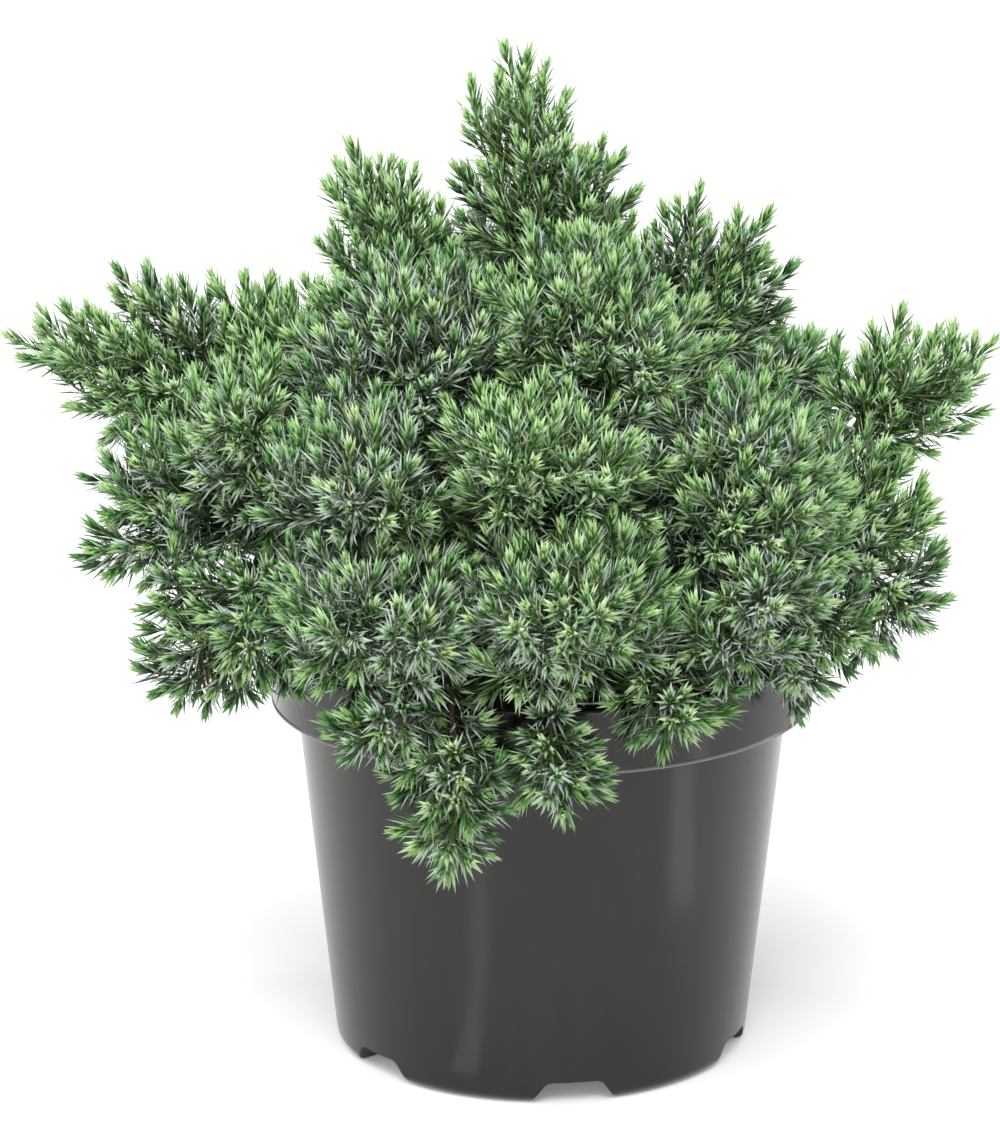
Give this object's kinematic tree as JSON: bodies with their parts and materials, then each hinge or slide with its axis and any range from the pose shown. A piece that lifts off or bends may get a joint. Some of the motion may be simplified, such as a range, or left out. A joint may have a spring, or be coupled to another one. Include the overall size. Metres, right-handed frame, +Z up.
{
  "type": "potted dwarf juniper",
  "caption": "Low spreading dwarf juniper with short blue-green needles on arching boughs, growing from one trunk in a round nursery pot filled with soil.",
  "frame": {"origin": "middle of the flat centre of the pot's underside, on the ground the pot stands on", "axes": "+Z up along the pot's axis, -Y towards the plant's front as pictured, +X to its right as seen from the front"},
  "size_m": [0.342, 0.298, 0.352],
  "materials": {
    "pot": "satin black-brown moulded plastic",
    "soil": "rough dark peat with bark fines",
    "bark": "rough red-brown peeling bark",
    "foliage": "blue-green needles with pale stripes, lighter at the tips"
  },
  "bodies": {
    "root": {"bough_back_left": "bark", "bough_back_low_left": "bark", "bough_back_low_right": "bark", "bough_back_right": "bark", "bough_back_top": "bark", "bough_centre_left": "bark", "bough_centre_top": "bark", "bough_front_left": "bark", "bough_front_left_upper": "bark", "bough_front_low_right": "bark", "bough_front_lower": "bark", "bough_front_right": "bark", "bough_front_right_low": "bark", "bough_front_upper": "bark", "bough_hang": "bark", "bough_hang_right": "bark", "bough_inner_left": "bark", "bough_inner_right": "bark", "bough_left_arm": "bark", "bough_left_front": "bark", "bough_left_hang": "bark", "bough_left_mid": "bark", "bough_left_upper": "bark", "bough_right_arm": "bark", "bough_right_shoulder": "bark", "bough_right_side": "bark", "bough_upper_left": "bark", "bough_upper_right": "bark", "foliage_back_left": "foliage", "foliage_back_low_left": "foliage", "foliage_back_low_right": "foliage", "foliage_back_right": "foliage", "foliage_back_top": "foliage", "foliage_centre_left": "foliage", "foliage_centre_top": "foliage", "foliage_crown": "foliage", "foliage_front_left": "foliage", "foliage_front_left_upper": "foliage", "foliage_front_low_right": "foliage", "foliage_front_lower": "foliage", "foliage_front_right": "foliage", "foliage_front_right_low": "foliage", "foliage_front_upper": "foliage", "foliage_hang": "foliage", "foliage_hang_right": "foliage", "foliage_inner_left": "foliage", "foliage_inner_right": "foliage", "foliage_left_arm": "foliage", "foliage_left_front": "foliage", "foliage_left_hang": "foliage", "foliage_left_mid": "foliage", "foliage_left_upper": "foliage", "foliage_right_arm": "foliage", "foliage_right_shoulder": "foliage", "foliage_right_side": "foliage", "foliage_upper_left": "foliage", "foliage_upper_right": "foliage", "pot": "pot", "soil": "soil", "trunk": "bark"}
  },
  "joints": []
}
